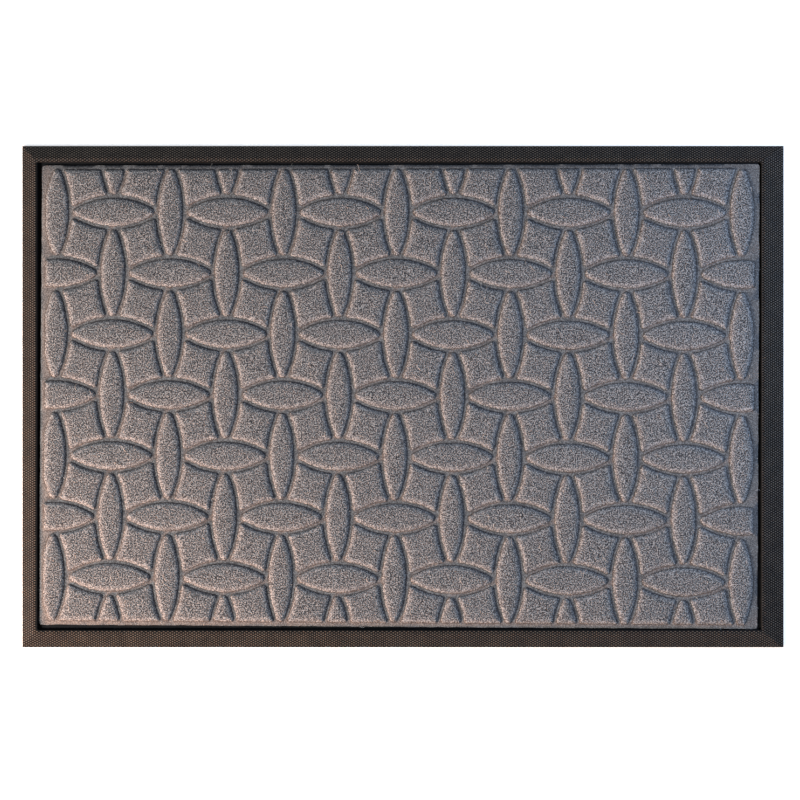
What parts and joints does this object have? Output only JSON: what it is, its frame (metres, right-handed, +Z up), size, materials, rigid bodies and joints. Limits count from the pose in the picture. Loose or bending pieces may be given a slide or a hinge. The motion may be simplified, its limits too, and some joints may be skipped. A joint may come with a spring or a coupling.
{
  "type": "door mat",
  "caption": "Rectangular door mat: moulded rubber tray with a bevelled border, holding a pressed felt carpet with a raised pattern of lenses and hollow-sided pads.",
  "frame": {"origin": "on the ground, under the centre of the mat's outline, level with the faces of the grip nubs", "axes": "+X along the mat's long side, +Y along its short side, +Z up out of the carpet"},
  "size_m": [0.75, 0.494, 0.0081],
  "materials": {
    "rubber": "matte moulded",
    "bond": "matte",
    "felt": "pressed needle felt"
  },
  "bodies": {
    "root": {"rubber_base": "rubber", "bond_layer": "bond", "felt_carpet": "felt"}
  },
  "joints": []
}
